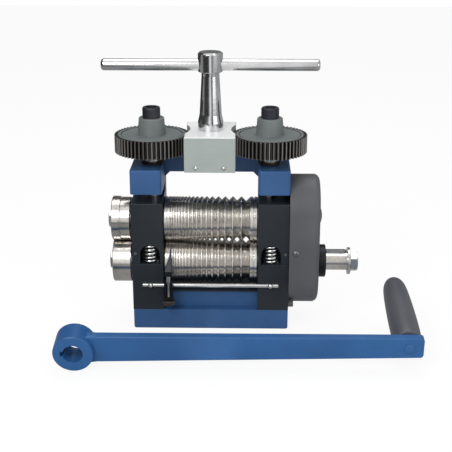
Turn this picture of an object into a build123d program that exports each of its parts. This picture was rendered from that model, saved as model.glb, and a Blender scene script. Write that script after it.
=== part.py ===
from build123d import *
from math import acos, cos, pi, radians, sin, sqrt, tan
import os

# Jewellers rolling mill, hand cranked, in millimetres.
# +X runs along the rollers towards the crank end, +Y to the back and +Z up. The origin lies on the underside
# of the base, midway between the housings and straight below the roller axes.
# Screw threads are plain cylinders at their outer diameter.

# ---- Driving dimensions ------------------------------------------------------------------------------

# Fits
RUNNING = 0.04              # radial clearance of a shaft in its bush
SLIDING = 0.1               # gap between faces that slide
FREE = 0.5                  # gap between pieces that pass without touching

# Fasteners, as shares of their own sizes
head_bevel = 0.1            # of a socket head's radius and height, turned off its rim
socket_depth = 0.5          # of the head's height
socket_flats = 1.1          # of the head's radius, across the socket's flats
slot_width = 0.3            # of a slotted head's radius
slot_depth = 0.4            # of its height
hexagon_bevel = 0.2         # of a hexagon's height, turned off its corners
hexagon_face = 0.49         # of its flats, the radius of the round face on top

# Gear teeth, as shares of the module unless they are angles or gaps
dedendum_room = 0.25        # the root's depth below the mating tip
root_room = 0.05            # least height of the flank's start above the root
drive_pressure_angle = 25.0
drive_backlash = 0.5
top_pressure_angle = 20.0
top_backlash = 0.2

# Frame
barrel_gap = 110.0          # between the inner faces of the housings
housing_width = 36.0
front_reach = 34.0          # from the roller axes to the front face
back_reach = 36.0           # and to the back face
column_depth = 16.0
base_height = 24.5
top_block_bottom = 166.0
frame_top = 194.5
tie_bar_height = 16.5
tie_gusset = 6.0
beam_front = 25.0
beam_height = 21.0
frame_fillet = 1.6
throat_fillet = 2.0         # inside the C of a housing
bench_hole_x = 90.0         # spacings of the threaded holes in the underside
bench_hole_y = 44.0
bench_hole_radius = 4.25
bench_hole_depth = 16.0

# Bolts that hold the frame together. A counterbored head lies head_sink below the surface.
head_sink = 0.5
bolt_room = 0.2             # round a small head in its counterbore
frame_bolt_inset = 12.0     # from the front face
frame_bolt_radius = 4.0
frame_bolt_head = 6.5
frame_bolt_head_height = 8.0
frame_bolt_grip = 20.0      # depth of thread in the piece above
tie_bolt_radius = 3.0
tie_bolt_head = 5.0
tie_bolt_head_height = 6.0
tie_bolt_grip = 15.0
beam_bolt_y = 10.0
side_bolt_radius = 3.0
side_bolt_grip = 10.0
side_bolt_y = -29.0
side_bolt_z = 31.5
side_bolt_flats = 8.0
side_bolt_head = 6.0

# Rollers
lower_axis_z = 74.5
roller_radius = 26.0
nip_gap = 0.1
barrel_end_play = 0.5
journal_radius = 12.0
bush_wall = 3.0
collar_width = 4.0
relief_width = 1.2
relief_depth = 1.4
groove_count = 17
smallest_groove = 0.95      # side of the square that a pair of facing grooves rolls
largest_groove = 7.0
groove_land = 1.18
first_groove_x = -47.2
edge_chamfer = 0.8

# Extension rollers, nuts and shaft ends
extension_gap = 2.4
extension_width = 22.0
extension_step = 1.0
extension_seat_radius = 10.0
extension_mark = 1.2        # width of the groove round the upper one
end_nut_radius = 7.0
end_nut_flats = 20.0
end_nut_height = 4.4

# Bearing blocks
block_wall = 9.0            # metal between a bush and the parting face
ledge_height = 57.0         # of the lower block's spring ledge above the base
ledge_depth = 19.8
upper_block_top = 155.0
guide_strip_width = 10.0
guide_strip_depth = 2.5
guide_strip_x = 80.0
guide_strip_lift = 2.0      # above the lower block
oiler_radius = 1.9
oiler_stem = 0.6            # of the oiler's radius
oiler_depth = 4.0
oiler_x = 87.0
oiler_z = 94.5

# Lift springs
spring_x = 70.0
spring_mean_radius = 7.9
spring_wire = 2.6
spring_end_pitch = 3.1
spring_active_turns = 3.5
spring_end_turns = 1.0
spring_grind = 0.5
spring_height = 24.0
spring_clearance = 0.25     # round the spring in its pocket
spring_forward = 0.2        # of the middle of the ledge
recess_width = 23.0
recess_drop = 0.6           # the recess's arch below the pocket's roof

# Pressure screws and their gears
gear_module = 1.5
pinion_teeth = 35
gear_teeth = 55
screw_radius = 9.0
tip_radius = 6.0
tip_shoulder = 1.0          # of the screw, above the top block's underside
tip_sink = 2.0              # socket in the upper block for the screw's tip
nut_radius = 11.0
nut_flange_radius = 12.3
nut_flange_height = 2.5
gear_bottom = frame_top + 14.5
gear_height = 20.0
rim_width = 3.8
disc_recess = 0.4
rim_groove = 1.2            # width and depth of the groove inside the rim
hub_height = 19.4
hub_base_radius = 16.0
hub_top_radius = 14.5
lower_hub_radius = 11.3
lower_hub_height = 8.0
cap_screw_radius = 10.2
cap_screw_height = 12.0
cap_shank_radius = 6.0
cap_screw_grip = 20.0
cap_plug = 8.0              # hub above the pressure screw's end

# Gearbox and handle
gearbox_width = 57.0
gearbox_front = 41.0
gearbox_height = 40.0
gearbox_wall = 7.0
gearbox_floor = 10.0
gearbox_roof = 7.3
gear_window = 1.5           # gap round a gear where it turns inside the gearbox
pinion_room = 1.2           # gap behind the pinion
gearbox_screw_x = 15.6
gearbox_screw_radius = 1.5
gearbox_screw_grip = 8.0
gearbox_screw_head = 2.6
gearbox_screw_head_height = 1.6
gearbox_bolt_x = 22.0
gearbox_bolt_y = 25.5
gearbox_bolt_radius = 2.5
gearbox_bolt_head = 4.2
gearbox_bolt_head_height = 5.0
gearbox_bolt_skin = 1.0     # floor left over a bolt's end
post_shaft_radius = 9.0
post_bush_wall = 3.0
post_end = 1.0              # of the shaft above the frame
post_base_radius = 14.6
post_base_height = 8.5
post_taper = 9.0            # height of the cone above the base
post_taper_radius = 12.6
post_waist_radius = 10.1
post_waist_z = frame_top + 101.5
post_head_radius = 14.1
post_head_height = 22.0
post_head_bevel = 1.8
post_top = frame_top + 128.0
bar_radius = 6.6
bar_length = 245.0
bar_end_round = 3.4
bar_z = frame_top + 113.5
pinion_key_width = 5.0

# Drive gears and cover
drive_module = 4.0
drive_teeth = 13
drive_width = 22.0
drive_start = 94.5
drive_seat_radius = 11.0
drive_key = 6.0
cover_radius = 38.0
cover_low_z = 63.0
cover_high_z = 142.5
cover_end = 126.0
cover_wall = 3.0
cover_fillet = 7.0
cover_post_radius = 5.8
cover_screw_radius = 2.5
cover_screw_grip = 9.0
cover_screw_head = 4.25
cover_screw_head_height = 3.0
cover_screw_sink = 0.3
cover_top_screw_z = 170.0
cover_foot_screw_z = 37.0
cover_shaft_room = 1.5      # round the lower shaft
cover_plug_x = 98.7
cover_plug_z = 96.3
cover_plug_radius = 2.5
cover_plug_head = 4.0
cover_plug_head_height = 1.2
cover_cap_radius = 12.2
cover_cap_rise = 5.0        # above the upper roller's axis
cover_cap_height = 3.4
cover_cap_seat = 0.6

# Output shaft
drive_collar_radius = 19.4
drive_collar_width = 8.8
shaft_reach = 161.5
crank_key_width = 6.0
crank_key_height = 2.6
crank_key_depth = 4.0       # below the shaft's surface
crank_key_margin = 1.0      # between it and the collar
crank_key_end_margin = 1.5  # between it and the shaft's end
keyway_side = 0.1           # gap at each side of the key
keyway_top = 0.2            # gap over it
washer_radius = 16.0
washer_thickness = 3.2
washer_chamfer = 0.6
shaft_bolt_flats = 22.0
shaft_bolt_head = 8.8
shaft_bolt_radius = 7.0
shaft_bolt_grip = 22.0

# Guide rod and wire guide
rod_radius = 2.4
rod_y = -35.9
rod_z = 56.3
rod_half_length = 79.5
rod_flat = 0.6
rod_wall = 1.0              # of the slider, behind the rod
rod_screw_x = 69.7
rod_screw_shank = 1.3
rod_screw_grip = 8.0
rod_screw_head = 3.0
rod_screw_head_height = 2.2
slider_x = -48.5
slider_width = 10.0
slider_bottom = 40.6
slider_top = 62.0
slider_lip = 4.4
slider_wall = 3.3           # in front of the stud
stud_y = -43.5
stud_radius = 2.2
stud_reach = 2.0            # below the thumb nut
stud_grip = 3.0             # into the finger
thumb_nut_radius = 7.5
thumb_nut_height = 4.8
thumb_nut_chamfer = 0.5
knurl_count = 36
knurl_size = 0.6
finger_tip_z = 100.3
finger_base_z = 71.0
finger_width = 8.0
finger_depth = 6.0
finger_swell = 0.4          # where it is widest
finger_swell_height = 6.0
finger_tip_offset = 2.6     # of the tip, to the right of the stud
finger_tip_width = 1.4
finger_tip_depth = 2.0
finger_tip_y = -32.0
finger_bevel_height = 8.0   # of the slope below the tip
finger_bevel_width = 1.3

# Crank
crank_eye = (-144.7, -134.8, 24.2)
crank_length = 362.3
crank_tilt = 9.0            # degrees, the eye's axis above level
crank_fall = -0.6           # degrees, the arm towards the grip
crank_turn = 0.3            # degrees about +Z
eye_radius = 22.0
eye_length = 28.0
eye_clearance = 0.06
arm_thickness = 10.0
arm_eye_height = 33.0
arm_grip_height = 24.5
arm_tail = 16.0             # arm beyond the grip pin
arm_corner = 3.5
arm_edge = 1.2
grip_pin_radius = 5.0
grip_pin_reach = 108.0
grip_pin_room = 2.0         # in the grip, beyond the pin's end
grip_gap = 0.6
grip_length = 128.0
grip_wide_radius = 16.5
grip_end_radius = 13.6
grip_neck_radius = 15.2     # at the arm
grip_neck_length = 6.0
grip_end_length = 18.0      # of the rounded end
rivet_radius = 6.5
rivet_height = 2.4

# ---- Worked out from them ----------------------------------------------------------------------------

inner_face = barrel_gap / 2
outer_face = inner_face + housing_width
column_front = back_reach - column_depth
upper_axis_z = lower_axis_z + 2 * roller_radius + nip_gap
bush_radius = journal_radius + bush_wall
barrel_half = inner_face - barrel_end_play
ledge_z = base_height + ledge_height
lower_block_top = lower_axis_z + bush_radius + block_wall
upper_block_bottom = upper_axis_z - bush_radius - block_wall
riser_y = -front_reach + ledge_depth
spring_y = -front_reach + ledge_depth / 2 - spring_forward
spring_top = ledge_z + spring_height
screw_x = gear_module * (pinion_teeth + gear_teeth) / 2
gear_top = gear_bottom + gear_height
disc_z = gear_top - disc_recess
hub_top = disc_z + hub_height
gear_tip_radius = gear_module * (gear_teeth / 2 + 1)
gear_root_radius = gear_module * (gear_teeth / 2 - 1 - dedendum_room)
rim_inner = gear_root_radius - rim_width
pinion_tip_radius = gear_module * (pinion_teeth / 2 + 1)
gearbox_top = frame_top + gearbox_height
roof_bottom = gearbox_top - gearbox_roof
floor_top = frame_top + gearbox_floor
extension_inner = outer_face + extension_gap
extension_outer = extension_inner + extension_width
drive_end = drive_start + drive_width
upper_shaft_end = drive_end + end_nut_height
crank_key_start = cover_end + FREE + drive_collar_width + crank_key_margin
crank_key_end = shaft_reach - crank_key_end_margin
bolt_x = (inner_face + outer_face) / 2
front_bolt_y = -front_reach + frame_bolt_inset
back_bolt_y = back_reach - column_depth / 2
frame_bolt_places = [(x, y) for x in (-bolt_x, bolt_x) for y in (front_bolt_y, back_bolt_y)]
tie_bolt_z = frame_top - tie_bar_height / 2
beam_bolt_z = base_height + beam_height / 2
cover_cap_z = upper_axis_z + cover_cap_rise
cover_screw_seat = cover_end - cover_screw_head_height - cover_screw_sink
housing_cover_screws = [(0, cover_top_screw_z), (back_bolt_y, (lower_axis_z + upper_axis_z) / 2)]
block_cover_screws = [(0, cover_foot_screw_z)]
gearbox_screw_z = frame_top + gearbox_floor / 2
gearbox_back = pinion_tip_radius + pinion_room + gearbox_wall
post_bush_radius = post_shaft_radius + post_bush_wall
slider_back = rod_y + rod_radius + rod_wall
slider_front = stud_y - slider_wall
slot_half = stud_radius + SLIDING

os.makedirs("parts", exist_ok=True)


def save(node, *solids):
    """Write one node. Several solids stay separate in it."""
    shape = solids[0] if len(solids) == 1 else Compound(children=list(solids))
    export_step(shape, f"parts/{node}.step")


# ---- Shapes used again and again ---------------------------------------------------------------------

def slab(x_range, y_range, z_range):
    """A block between two values on each axis."""
    ranges = (x_range, y_range, z_range)
    sizes = [high - low for low, high in ranges]
    middle = [(low + high) / 2 for low, high in ranges]
    return Pos(*middle) * Box(*sizes)


def bar_x(radius, start, end, y=0.0, z=0.0):
    return Pos((start + end) / 2, y, z) * Rot(0, 90, 0) * Cylinder(radius, abs(end - start))


def bar_y(radius, start, end, x=0.0, z=0.0):
    return Pos(x, (start + end) / 2, z) * Rot(90, 0, 0) * Cylinder(radius, abs(end - start))


def bar_z_axis(radius, start, end, x=0.0, y=0.0):
    return Pos(x, y, (start + end) / 2) * Cylinder(radius, abs(end - start))


def turned_on_x(points, z):
    """Turn an outline of (x, radius) points about the X axis, then raise it to z."""
    outline = make_face(Polyline(*points, close=True))
    return Pos(0, 0, z) * revolve(outline, Axis.X)


def turned_on_z(points, x=0.0, y=0.0):
    """Turn an outline of (radius, z) points about the Z axis, then move it to x, y."""
    outline = make_face(Polyline(*[(radius, 0, z) for radius, z in points], close=True))
    return Pos(x, y, 0) * revolve(outline, Axis.Z)


def hexagon(flats, height):
    """A hexagonal prism standing on the XY plane."""
    return extrude(RegularPolygon(flats / 2, 6, major_radius=False), height)


def dome(radius, height):
    """A shallow cap of a ball, standing on the XY plane."""
    ball_radius = (radius ** 2 + height ** 2) / (2 * height)
    middle_height = height - ball_radius + sqrt(ball_radius ** 2 - radius ** 2 / 4)
    outline = Line((0, 0, 0), (radius, 0, 0))
    outline += ThreePointArc((radius, 0, 0), (radius / 2, 0, middle_height), (0, 0, height))
    outline += Line((0, 0, height), (0, 0, 0))
    return revolve(make_face(outline), Axis.Z)


def socket_screw(shank_radius, shank_length, head_radius, head_height):
    """A socket head screw: the head stands up from the XY plane and the shank hangs below it."""
    kept = 1 - head_bevel
    head = turned_on_z([(0, 0), (head_radius, 0), (head_radius, head_height * kept),
                        (head_radius * kept, head_height), (0, head_height)])
    socket = Pos(0, 0, head_height * (1 - socket_depth)) * hexagon(head_radius * socket_flats, head_height)
    return head - socket + bar_z_axis(shank_radius, -shank_length, 0)


def slotted_screw(shank_radius, shank_length, head_radius, head_height):
    """A domed, slotted screw: the head stands up from the XY plane, with its slot along X."""
    across = 2 * (head_radius + FREE)
    slot = Pos(0, 0, head_height) * Box(across, head_radius * slot_width, 2 * head_height * slot_depth)
    return dome(head_radius, head_height) - slot + bar_z_axis(shank_radius, -shank_length, 0)


def turned_hexagon(flats, height):
    """A hexagonal prism on the XY plane, with its upper corners turned off."""
    corner = flats / sqrt(3)
    turned = turned_on_z([(0, 0), (corner, 0), (corner, height * (1 - hexagon_bevel)),
                          (flats * hexagon_face, height), (0, height)])
    return hexagon(flats, height) & turned


def hex_bolt(shank_radius, shank_length, flats, head_height):
    """A hexagon bolt whose head stands up from the XY plane."""
    return turned_hexagon(flats, head_height) + bar_z_axis(shank_radius, -shank_length, 0)


def facing_x(side):
    """Turn +Z to +X for side 1, or to -X for side -1."""
    return Rot(0, 90 * side, 0)


def facing_y(side):
    """Turn +Z to +Y for side 1, or to -Y for side -1."""
    return Rot(-90 * side, 0, 0)


# ---- Gear teeth --------------------------------------------------------------------------------------

def gear_face(module, teeth, pressure_angle, backlash, addendum=1.0, flank_steps=4):
    """An involute spur gear's outline on XY, with a tooth on +X."""
    pitch_radius = module * teeth / 2
    base_radius = pitch_radius * cos(radians(pressure_angle))
    tip_radius_here = pitch_radius + addendum * module
    root_radius = pitch_radius - (addendum + dedendum_room) * module
    start_radius = max(base_radius, root_radius + root_room * module)

    def involute(radius):
        angle = acos(base_radius / radius)
        return tan(angle) - angle

    half_at_pitch = pi / (2 * teeth) - backlash / (4 * pitch_radius)

    def half_angle(radius):
        return half_at_pitch + involute(pitch_radius) - involute(radius)

    step = (tip_radius_here - start_radius) / flank_steps
    flank = [start_radius + step * index for index in range(flank_steps + 1)]
    polar = [(root_radius, -half_angle(start_radius))]
    polar += [(radius, -half_angle(radius)) for radius in flank]
    polar += [(radius, half_angle(radius)) for radius in reversed(flank)]
    polar += [(root_radius, half_angle(start_radius))]
    points = []
    for tooth in range(teeth):
        turn = 2 * pi * tooth / teeth
        points += [(radius * cos(angle + turn), radius * sin(angle + turn)) for radius, angle in polar]
    return make_face(Polyline(*points, close=True))


# ---- Frame -------------------------------------------------------------------------------------------

def frame_bolt_hole(x, y):
    """Hole and counterbore for one bolt that comes up through the base."""
    head = bar_z_axis(frame_bolt_head + FREE, 0, frame_bolt_head_height + head_sink, x, y)
    return head + bar_z_axis(frame_bolt_radius, 0, base_height + frame_bolt_grip, x, y)


def tie_bolt_hole(side, y, z):
    """Hole and counterbore for one bolt that comes in through a housing's outer face."""
    head_end = outer_face - tie_bolt_head_height - head_sink
    head = bar_x(tie_bolt_head + FREE, side * head_end, side * outer_face, y, z)
    return head + bar_x(tie_bolt_radius, side * (inner_face - tie_bolt_grip), side * outer_face, y, z)


def base():
    body = slab((-outer_face, outer_face), (-front_reach, back_reach), (0, base_height))
    body = fillet(body.edges().filter_by(Axis.Z), frame_fillet * 2)
    body = fillet(body.faces().sort_by(Axis.Z)[0].edges(), frame_fillet)
    for x, y in frame_bolt_places:
        body -= frame_bolt_hole(x, y)
    for x in (-bench_hole_x / 2, bench_hole_x / 2):
        for y in (-bench_hole_y / 2, bench_hole_y / 2):
            body -= bar_z_axis(bench_hole_radius, 0, bench_hole_depth, x, y)
    return body


def housing(side):
    """The C-shaped side of the frame: a column at the back and a block that reaches forward."""
    across = sorted((side * inner_face, side * outer_face))
    column = slab(across, (column_front, back_reach), (base_height, frame_top))
    block = slab(across, (-front_reach, back_reach), (top_block_bottom, frame_top))
    body = column + block
    under_block = body.edges().filter_by(Axis.X).group_by(Axis.Z)[1]
    body = fillet(under_block.sort_by(Axis.Y)[-1], throat_fillet)
    body = fillet(body.faces().sort_by(Axis.Y)[0].edges().filter_by(Axis.Z), frame_fillet * 2)
    body = fillet(body.faces().sort_by(Axis.Z)[-1].edges(), frame_fillet)
    body -= bar_z_axis(nut_radius, top_block_bottom, frame_top, side * screw_x)
    body -= frame_bolt_hole(side * bolt_x, back_bolt_y)
    body -= tie_bolt_hole(side, back_bolt_y, tie_bolt_z)
    if side > 0:
        for y, z in housing_cover_screws:
            body -= bar_x(cover_screw_radius, outer_face - cover_screw_grip, outer_face, y, z)
    return body


def tie_bar():
    low = frame_top - tie_bar_height
    gusset = low - tie_gusset
    corner = inner_face - tie_gusset
    outline = Polyline((-inner_face, frame_top), (inner_face, frame_top), (inner_face, gusset), (corner, low),
                       (-corner, low), (-inner_face, gusset), close=True)
    body = extrude(Plane.XZ * make_face(outline), -column_depth)
    body = Pos(0, column_front, 0) * body
    for side in (-1, 1):
        body -= tie_bolt_hole(side, back_bolt_y, tie_bolt_z)
        x = side * gearbox_bolt_x
        body -= bar_z_axis(gearbox_bolt_radius, low, frame_top, x, gearbox_bolt_y)
        head_top = low + gearbox_bolt_head_height + head_sink
        body -= bar_z_axis(gearbox_bolt_head + bolt_room, low, head_top, x, gearbox_bolt_y)
    return body


def cross_beam():
    z_range = (base_height, base_height + beam_height)
    body = slab((-inner_face, inner_face), (-beam_front, column_front), z_range)
    top_edges = body.faces().sort_by(Axis.Z)[-1].edges().filter_by(Axis.X)
    body = fillet(top_edges, frame_fillet)
    for side in (-1, 1):
        body -= tie_bolt_hole(side, beam_bolt_y, beam_bolt_z)
    return body


def frame_bolts():
    bolt = socket_screw(frame_bolt_radius, base_height - frame_bolt_head_height - head_sink + frame_bolt_grip,
                        frame_bolt_head, frame_bolt_head_height)
    under = frame_bolt_head_height + head_sink
    return [Pos(x, y, under) * Rot(180, 0, 0) * bolt for x, y in frame_bolt_places]


def tie_bolts():
    length = housing_width - tie_bolt_head_height - head_sink + tie_bolt_grip
    bolt = socket_screw(tie_bolt_radius, length, tie_bolt_head, tie_bolt_head_height)
    seat = outer_face - tie_bolt_head_height - head_sink
    heights = ((back_bolt_y, tie_bolt_z), (beam_bolt_y, beam_bolt_z))
    return [Pos(side * seat, y, z) * facing_x(side) * bolt for side in (-1, 1) for y, z in heights]


# ---- Bearing blocks ----------------------------------------------------------------------------------

def block_prism(side, outline):
    """Extrude an outline of (y, z) points across one housing."""
    face = Plane.YZ * make_face(Polyline(*outline, close=True))
    start = min(side * inner_face, side * outer_face)
    return Pos(start, 0, 0) * extrude(face, housing_width)


def lower_block(side):
    outline = [(-front_reach, base_height), (column_front, base_height), (column_front, lower_block_top),
               (riser_y, lower_block_top), (riser_y, ledge_z), (-front_reach, ledge_z)]
    body = block_prism(side, outline)
    body -= bar_x(bush_radius, side * inner_face, side * outer_face, 0, lower_axis_z)
    body -= frame_bolt_hole(side * bolt_x, front_bolt_y)
    body -= tie_bolt_hole(side, beam_bolt_y, beam_bolt_z)
    body -= bar_x(rod_radius, -rod_half_length, rod_half_length, rod_y, rod_z)
    body -= bar_y(rod_screw_shank, -front_reach, -front_reach + rod_screw_grip, side * rod_screw_x, rod_z)
    if side > 0:
        for y, z in block_cover_screws:
            body -= bar_x(cover_screw_radius, outer_face - cover_screw_grip, outer_face, y, z)
        body -= bar_x(side_bolt_radius, outer_face - side_bolt_grip, outer_face, side_bolt_y, side_bolt_z)
    return body


def upper_block(side):
    apron_back = riser_y - FREE
    slide_back = column_front - SLIDING
    outline = [(-front_reach, ledge_z + FREE), (apron_back, ledge_z + FREE),
               (apron_back, upper_block_bottom), (slide_back, upper_block_bottom),
               (slide_back, upper_block_top), (-front_reach, upper_block_top)]
    body = block_prism(side, outline)
    top_front = body.edges().filter_by(Axis.X).group_by(Axis.Z)[-1].sort_by(Axis.Y)[0]
    body = chamfer(top_front, edge_chamfer)
    body -= bar_x(bush_radius, side * inner_face, side * outer_face, 0, upper_axis_z)
    half = recess_width / 2
    arch_z = spring_top - recess_drop - half
    across = (side * spring_x - half, side * spring_x + half)
    body -= slab(across, (-front_reach, apron_back), (ledge_z, arch_z))
    body -= bar_y(half, -front_reach, apron_back, side * spring_x, arch_z)
    pocket = spring_mean_radius + spring_wire / 2 + spring_clearance
    body -= bar_z_axis(pocket, ledge_z, spring_top, side * spring_x, spring_y)
    body -= bar_z_axis(tip_radius + FREE, upper_block_top - tip_sink, upper_block_top, side * screw_x)
    groove_half = guide_strip_width / 2 + SLIDING
    groove_y = (column_front - guide_strip_depth - SLIDING, column_front)
    groove_x = (side * guide_strip_x - groove_half, side * guide_strip_x + groove_half)
    body -= slab(groove_x, groove_y, (upper_block_bottom, upper_block_top))
    stem = oiler_radius * oiler_stem
    body -= bar_y(stem, -front_reach, -front_reach + oiler_depth, side * oiler_x, oiler_z)
    return body


def bush_pair(axis_z):
    ring = bar_x(bush_radius, inner_face, outer_face, 0, axis_z)
    ring -= bar_x(journal_radius + RUNNING, inner_face, outer_face, 0, axis_z)
    return [ring, Pos(-inner_face - outer_face, 0, 0) * ring]


def guide_strips():
    """Steel strips on the columns that keep the upper blocks in line."""
    low = lower_block_top + guide_strip_lift
    high = top_block_bottom - throat_fillet
    half = guide_strip_width / 2
    y_range = (column_front - guide_strip_depth, column_front)
    return [slab((side * guide_strip_x - half, side * guide_strip_x + half), y_range, (low, high))
            for side in (-1, 1)]


def oilers():
    """Ball oilers in the front of the upper blocks."""
    shapes = []
    for side in (-1, 1):
        stem = oiler_radius * oiler_stem
        cup = bar_y(stem, -front_reach, -front_reach + oiler_depth, side * oiler_x, oiler_z)
        dome = Pos(side * oiler_x, -front_reach, oiler_z) * Sphere(oiler_radius)
        in_front = slab((side * oiler_x - oiler_radius, side * oiler_x + oiler_radius),
                        (-front_reach - oiler_radius / 2, -front_reach),
                        (oiler_z - oiler_radius, oiler_z + oiler_radius))
        shapes.append((dome & in_front) + cup)
    return shapes


# ---- Lift springs ------------------------------------------------------------------------------------

def spring_point(turns):
    """A point on the wire's centre line, in turns from its lower end."""
    total = 2 * spring_end_turns + spring_active_turns
    rise = spring_height - spring_wire + 2 * spring_grind
    active_pitch = (rise - 2 * spring_end_turns * spring_end_pitch) / spring_active_turns
    lower = min(turns, spring_end_turns)
    upper = max(turns - (total - spring_end_turns), 0)
    middle = turns - lower - upper
    z = (lower + upper) * spring_end_pitch + middle * active_pitch
    angle = 2 * pi * turns
    return Vector(spring_mean_radius * cos(angle), spring_mean_radius * sin(angle), z)


def spring_tangent(turns):
    step = 0.001
    return (spring_point(turns + step) - spring_point(turns - step)).normalized()


def biarc(start, start_tangent, end, end_tangent):
    """Two arcs that join two points and keep both tangents."""
    chord = end - start
    both = start_tangent + end_tangent
    square = 2 * (1 - start_tangent.dot(end_tangent))
    linear = 2 * chord.dot(both)
    reach = (-linear + sqrt(linear ** 2 + 4 * square * chord.dot(chord))) / (2 * square)
    first_corner = start + start_tangent * reach
    last_corner = end - end_tangent * reach
    middle = (first_corner + last_corner) * 0.5
    return [TangentArc(start, middle, tangent=start_tangent),
            TangentArc(middle, end, tangent=last_corner - first_corner)]


def lift_spring(side):
    total = 2 * spring_end_turns + spring_active_turns
    quarter_turns = round(4 * total)
    arcs = []
    for index in range(quarter_turns):
        first, last = index / 4, (index + 1) / 4
        arcs += biarc(spring_point(first), spring_tangent(first), spring_point(last), spring_tangent(last))
    path = Wire(arcs)
    section = Plane(origin=spring_point(0), z_dir=spring_tangent(0)) * Circle(spring_wire / 2)
    wire = sweep(section, path)
    place = Pos(side * spring_x, spring_y, ledge_z + spring_wire / 2 - spring_grind)
    reach = spring_mean_radius + spring_wire
    keep = slab((side * spring_x - reach, side * spring_x + reach), (spring_y - reach, spring_y + reach),
                (ledge_z, spring_top))
    return (place * wire) & keep


def spring_gap():
    """Least distance between neighbouring turns of the wire."""
    samples = 48
    total = 2 * spring_end_turns + spring_active_turns
    points = [spring_point(index / samples) for index in range(round(total * samples) + 1)]
    gaps = []
    for index, point in enumerate(points):
        for other in points[index + samples // 2:]:
            gaps.append((point - other).length - spring_wire)
    return min(gaps)


# ---- Rollers -----------------------------------------------------------------------------------------

def barrel_outline():
    """The barrel as (x, radius) points: end collars, narrow reliefs and the wire grooves between them."""
    left, right = -barrel_half, barrel_half
    points = [(left, roller_radius - edge_chamfer), (left + edge_chamfer, roller_radius)]
    points += relief_outline(left + collar_width)
    ratio = (largest_groove / smallest_groove) ** (1 / (groove_count - 1))
    x = first_groove_x
    for index in range(groove_count):
        width = smallest_groove * ratio ** index * sqrt(2)
        points += [(x, roller_radius), (x + width / 2, roller_radius - width / 2), (x + width, roller_radius)]
        x += width + groove_land
    points += relief_outline(right - collar_width - relief_width)
    points += [(right - edge_chamfer, roller_radius), (right, roller_radius - edge_chamfer)]
    return points


def relief_outline(x):
    floor = roller_radius - relief_depth
    return [(x, roller_radius), (x, floor), (x + relief_width, floor), (x + relief_width, roller_radius)]


def roller(axis_z, right_end_outline):
    """One steel roller with its journals, left seat and thread. The right end differs."""
    nut_end = extension_outer + end_nut_height
    points = [(-nut_end, 0), (-nut_end, end_nut_radius), (-extension_outer, end_nut_radius),
              (-extension_outer, extension_seat_radius), (-extension_inner, extension_seat_radius),
              (-extension_inner, journal_radius), (-barrel_half, journal_radius)]
    points += barrel_outline()
    points += [(barrel_half, journal_radius), (drive_start, journal_radius)]
    points += right_end_outline
    body = turned_on_x(points, axis_z)
    return body - drive_key_block(axis_z)


def upper_roller():
    return roller(upper_axis_z, [(drive_start, drive_seat_radius), (drive_end, drive_seat_radius),
                                 (drive_end, end_nut_radius), (upper_shaft_end, end_nut_radius),
                                 (upper_shaft_end, 0)])


def lower_roller():
    body = roller(lower_axis_z, [(drive_start, drive_seat_radius), (shaft_reach, drive_seat_radius),
                                 (shaft_reach, 0)])
    body -= bar_x(shaft_bolt_radius, shaft_reach - shaft_bolt_grip, shaft_reach, 0, lower_axis_z)
    return body - crank_key()


def drive_key_block(axis_z):
    """The key between a roller's shaft and its drive gear."""
    return slab((drive_start, drive_end), (-drive_key / 2, drive_key / 2),
                (axis_z + drive_seat_radius - drive_key / 2, axis_z + drive_seat_radius + drive_key / 2))


def crank_key():
    """The key that turns the shaft, rounded at its outer end."""
    top = lower_axis_z + drive_seat_radius + crank_key_height
    low = lower_axis_z + drive_seat_radius - crank_key_depth
    half = crank_key_width / 2
    body = slab((crank_key_start, crank_key_end - half), (-half, half), (low, top))
    return body + bar_z_axis(half, low, top, crank_key_end - half)


def extension_roller(axis_z, grooved):
    """A plain roller outside the housing. The upper one has a narrow groove and a step beside it."""
    inner, outer = -extension_inner, -extension_outer
    points = [(outer, extension_seat_radius), (outer, roller_radius - edge_chamfer),
              (outer + edge_chamfer, roller_radius)]
    inner_radius = roller_radius
    if grooved:
        mark = (inner + outer) / 2
        floor = roller_radius - 2 * extension_step
        inner_radius = roller_radius - extension_step
        points += [(mark - extension_mark, roller_radius), (mark - extension_mark, floor),
                   (mark, floor), (mark, inner_radius)]
    points += [(inner - edge_chamfer, inner_radius), (inner, inner_radius - edge_chamfer),
               (inner, extension_seat_radius)]
    return turned_on_x(points, axis_z)


def shaft_nut(start, side, axis_z):
    """A thin nut against the end of a shaft's seat, facing out to one side."""
    body = turned_hexagon(end_nut_flats, end_nut_height)
    body -= bar_z_axis(end_nut_radius, 0, end_nut_height)
    return Pos(start, 0, axis_z) * facing_x(side) * body


def drive_gear(axis_z):
    face = gear_face(drive_module, drive_teeth, drive_pressure_angle, drive_backlash, flank_steps=5)
    upright = Rot(0, 90, 0) * Rot(0, 0, 180) * extrude(face, drive_width)
    body = Pos(drive_start, 0, axis_z) * upright
    body -= bar_x(drive_seat_radius, drive_start, drive_end, 0, axis_z)
    return body - drive_key_block(axis_z)


def drive_collar():
    start = cover_end + FREE
    end = start + drive_collar_width
    rim = drive_collar_radius - edge_chamfer
    points = [(start, drive_seat_radius), (start, rim), (start + edge_chamfer, drive_collar_radius),
              (end - edge_chamfer, drive_collar_radius), (end, rim), (end, drive_seat_radius)]
    return turned_on_x(points, lower_axis_z)


def shaft_washer():
    start = shaft_reach
    end = start + washer_thickness
    points = [(start, shaft_bolt_radius), (start, washer_radius), (end - washer_chamfer, washer_radius),
              (end, washer_radius - washer_chamfer), (end, shaft_bolt_radius)]
    return turned_on_x(points, lower_axis_z)


def shaft_bolt():
    length = washer_thickness + shaft_bolt_grip
    bolt = hex_bolt(shaft_bolt_radius, length, shaft_bolt_flats, shaft_bolt_head)
    return Pos(shaft_reach + washer_thickness, 0, lower_axis_z) * facing_x(1) * bolt


# ---- Pressure screws and top gears -------------------------------------------------------------------

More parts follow.
